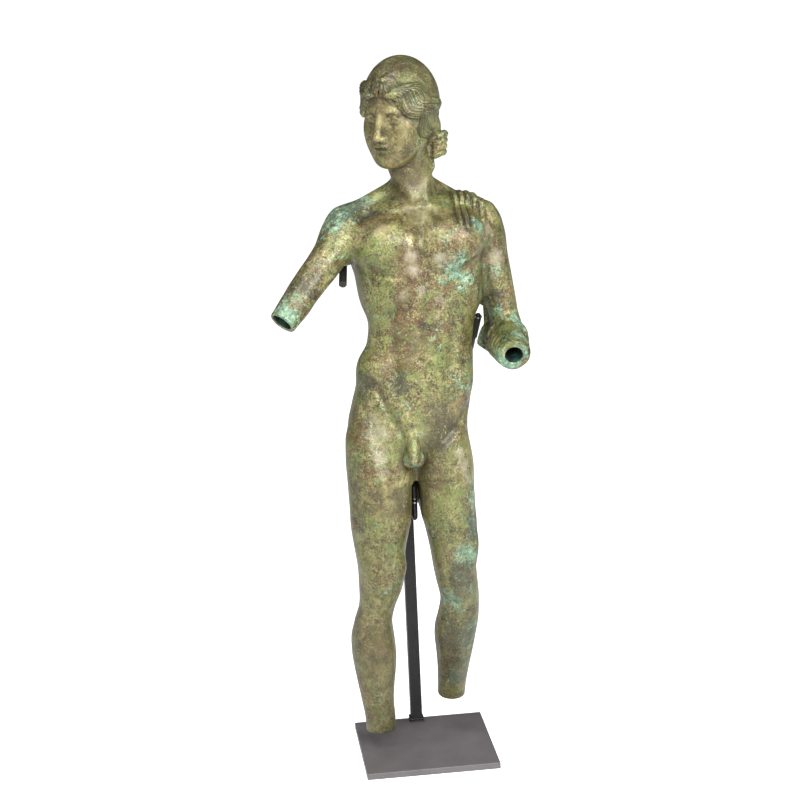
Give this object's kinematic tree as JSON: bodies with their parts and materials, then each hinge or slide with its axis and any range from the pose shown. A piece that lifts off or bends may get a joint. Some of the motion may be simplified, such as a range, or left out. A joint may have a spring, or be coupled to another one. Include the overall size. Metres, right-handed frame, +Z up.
{
  "type": "bronze torso sculpture",
  "caption": "Half life-size hollow bronze of a nude youth in a close cap, broken at both arms and shins, on a black steel museum stand.",
  "frame": {"origin": "centre of the stand plate's underside", "axes": "+Z up, -Y the way the chest and the plate's front edge face, +X to the viewer's right"},
  "size_m": [0.3007, 0.16, 0.8425],
  "materials": {
    "patinated_bronze": "mottled olive, brown and green patina, rubbed bright on the high places",
    "plate_steel": "satin dark grey paint",
    "black_steel": "satin black paint"
  },
  "bodies": {
    "root": {"figure": "patinated_bronze", "stand_plate": "plate_steel", "stand_post": "black_steel", "saddle_rod": "black_steel", "armpit_rod": "black_steel", "side_strut": "black_steel"}
  },
  "joints": []
}
